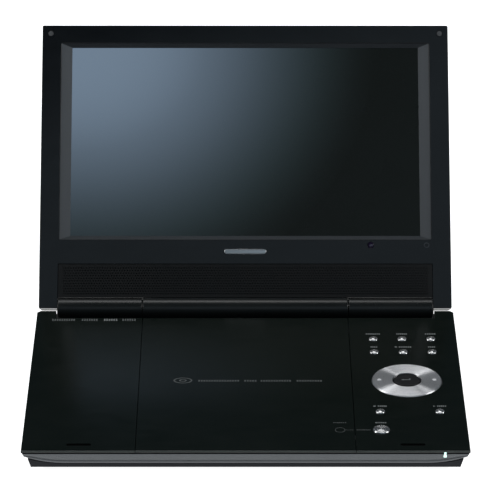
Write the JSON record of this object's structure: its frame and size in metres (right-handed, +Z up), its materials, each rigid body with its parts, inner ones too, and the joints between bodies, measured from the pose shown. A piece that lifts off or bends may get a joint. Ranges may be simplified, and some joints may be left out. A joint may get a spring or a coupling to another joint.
{
  "type": "portable dvd player",
  "caption": "Clamshell portable disc player: hinged widescreen lid over a base with a lifting disc door, a four-way ring, round keys and side controls.",
  "frame": {"origin": "centre of the open player's bounding box, on the floor under the feet", "axes": "+X to the user's right, +Y from the front edge to the rear, +Z up"},
  "size_m": [0.266, 0.322, 0.1638],
  "materials": {
    "gloss_black": "high gloss piano black",
    "grille_black": "matte, slotted and finely perforated",
    "hull_black": "fine texture",
    "gunmetal": "metallic paint",
    "spun_silver": "spun",
    "key_chrome": "satin plated",
    "dark_plastic": "satin",
    "steel": "plated",
    "rubber": "matte",
    "screen_glass": "glossy, dark when off",
    "circuit_board": "solder mask",
    "lamp_lens": "clear, lit"
  },
  "bodies": {
    "base": {"av_jacks": "dark_plastic", "battery_pack": "hull_black", "bottom_shell": "hull_black", "case_screw_front_left": "steel", "case_screw_front_right": "steel", "case_screw_rear_left": "steel", "case_screw_rear_right": "steel", "control_circuit_board": "circuit_board", "dc_jack": "dark_plastic", "disc_deck": "dark_plastic", "drive_chassis": "steel", "front_trim": "gunmetal", "guide_rod": "steel", "hinge_barrel_left": "gloss_black", "hinge_barrel_right": "gloss_black", "hinge_shaft_left": "steel", "hinge_shaft_right": "steel", "key_mat": "rubber", "left_top_panel": "gloss_black", "main_circuit_board": "circuit_board", "power_led_lens": "lamp_lens", "right_control_panel": "gloss_black", "rubber_foot_front_left": "rubber", "rubber_foot_front_right": "rubber", "rubber_foot_rear_left": "rubber", "rubber_foot_rear_right": "rubber", "sled_motor": "steel", "spindle_motor": "steel"},
    "lid": {"screen_bezel": "gloss_black", "lid_back_cover": "gloss_black", "lcd_glass": "screen_glass", "backlight_unit": "dark_plastic", "speaker_grille": "grille_black", "speaker_left": "dark_plastic", "speaker_right": "dark_plastic", "hinge_centre_cover": "gloss_black", "lid_circuit_board": "circuit_board", "remote_sensor_window": "dark_plastic", "lid_bumper_left": "rubber", "lid_bumper_right": "rubber"},
    "disc_door": {"disc_door": "gloss_black"},
    "door_latch": {"door_latch": "steel"},
    "open_button": {"open_button": "key_chrome"},
    "nav_collar": {"nav_collar": "dark_plastic"},
    "nav_ring": {"nav_ring": "spun_silver"},
    "enter_key": {"enter_key": "dark_plastic"},
    "volume_wheel": {"volume_wheel": "dark_plastic"},
    "power_switch": {"power_switch": "dark_plastic"},
    "battery_latch": {"battery_latch": "dark_plastic"},
    "spindle_hub": {"spindle_hub": "dark_plastic"},
    "optical_pickup": {"optical_pickup": "dark_plastic"},
    "lead_screw": {"lead_screw": "steel"},
    "key_lower_1": {"key_lower_1": "key_chrome"},
    "key_lower_2": {"key_lower_2": "key_chrome"},
    "key_lower_3": {"key_lower_3": "key_chrome"},
    "key_play": {"key_play": "key_chrome"},
    "key_stop": {"key_stop": "key_chrome"},
    "key_upper_1": {"key_upper_1": "key_chrome"},
    "key_upper_2": {"key_upper_2": "key_chrome"},
    "key_upper_3": {"key_upper_3": "key_chrome"}
  },
  "joints": [
    {"name": "lid_hinge", "type": "hinge", "parent": "base", "child": "lid", "pos_m": [0, 0.0306, 0.017], "axis": [-1, 0, 0], "range_deg": [-129, 21]},
    {"name": "disc_door_hinge", "type": "hinge", "parent": "base", "child": "disc_door", "pos_m": [0, 0.0076, 0.0155], "axis": [-1, 0, 0], "range_deg": [0, 65]},
    {"name": "open_button_press", "type": "slide", "parent": "base", "child": "open_button", "axis": [0, 0, -1], "range_m": [0, 0.001], "stiffness_N_per_m": 1500},
    {"name": "door_latch_slide", "type": "slide", "parent": "base", "child": "door_latch", "axis": [1, 0, 0], "range_m": [0, 0.0015]},
    {"name": "nav_tilt_front_back", "type": "hinge", "parent": "base", "child": "nav_collar", "pos_m": [0.0992, -0.0714, 0.0185], "axis": [1, 0, 0], "range_deg": [-1.2, 1.2], "stiffness_Nm_per_rad": 1.4},
    {"name": "nav_tilt_left_right", "type": "hinge", "parent": "nav_collar", "child": "nav_ring", "pos_m": [0.0992, -0.0714, 0.0185], "axis": [0, 1, 0], "range_deg": [-1.2, 1.2], "stiffness_Nm_per_rad": 1.4},
    {"name": "enter_press", "type": "slide", "parent": "base", "child": "enter_key", "axis": [0, 0, -1], "range_m": [0, 0.0005], "stiffness_N_per_m": 2500},
    {"name": "volume_turn", "type": "hinge", "parent": "base", "child": "volume_wheel", "pos_m": [0.1203, -0.1214, 0.0105], "axis": [0, 0, 1], "range_deg": [0, 270]},
    {"name": "power_slide", "type": "slide", "parent": "base", "child": "power_switch", "axis": [0, 1, 0], "range_m": [0, 0.005]},
    {"name": "battery_latch_slide", "type": "slide", "parent": "base", "child": "battery_latch", "axis": [1, 0, 0], "range_m": [0, 0.003], "stiffness_N_per_m": 400},
    {"name": "spindle_spin", "type": "hinge", "parent": "base", "child": "spindle_hub", "pos_m": [0, -0.0714, 0.0159], "axis": [0, 0, 1], "continuous": true},
    {"name": "pickup_slide", "type": "slide", "parent": "base", "child": "optical_pickup", "axis": [0, -1, 0], "range_m": [0, 0.035]},
    {"name": "lead_screw_turn", "type": "hinge", "parent": "base", "child": "lead_screw", "pos_m": [-0.021, -0.0538, 0.0086], "axis": [0, -1, 0], "range_deg": [0, 4201]},
    {"name": "key_lower_1_press", "type": "slide", "parent": "base", "child": "key_lower_1", "axis": [0, 0, -1], "range_m": [0, 0.0005], "stiffness_N_per_m": 2000},
    {"name": "key_lower_2_press", "type": "slide", "parent": "base", "child": "key_lower_2", "axis": [0, 0, -1], "range_m": [0, 0.0005], "stiffness_N_per_m": 2000},
    {"name": "key_lower_3_press", "type": "slide", "parent": "base", "child": "key_lower_3", "axis": [0, 0, -1], "range_m": [0, 0.0005], "stiffness_N_per_m": 2000},
    {"name": "key_play_press", "type": "slide", "parent": "base", "child": "key_play", "axis": [0, 0, -1], "range_m": [0, 0.0005], "stiffness_N_per_m": 2000},
    {"name": "key_stop_press", "type": "slide", "parent": "base", "child": "key_stop", "axis": [0, 0, -1], "range_m": [0, 0.0005], "stiffness_N_per_m": 2000},
    {"name": "key_upper_1_press", "type": "slide", "parent": "base", "child": "key_upper_1", "axis": [0, 0, -1], "range_m": [0, 0.0005], "stiffness_N_per_m": 2000},
    {"name": "key_upper_2_press", "type": "slide", "parent": "base", "child": "key_upper_2", "axis": [0, 0, -1], "range_m": [0, 0.0005], "stiffness_N_per_m": 2000},
    {"name": "key_upper_3_press", "type": "slide", "parent": "base", "child": "key_upper_3", "axis": [0, 0, -1], "range_m": [0, 0.0005], "stiffness_N_per_m": 2000}
  ],
  "couplings": [
    {"joint": "door_latch_slide", "follows": "open_button_press", "ratio": 1.5},
    {"joint": "lead_screw_turn", "follows": "pickup_slide", "rad_per_m": 2094.4}
  ]
}
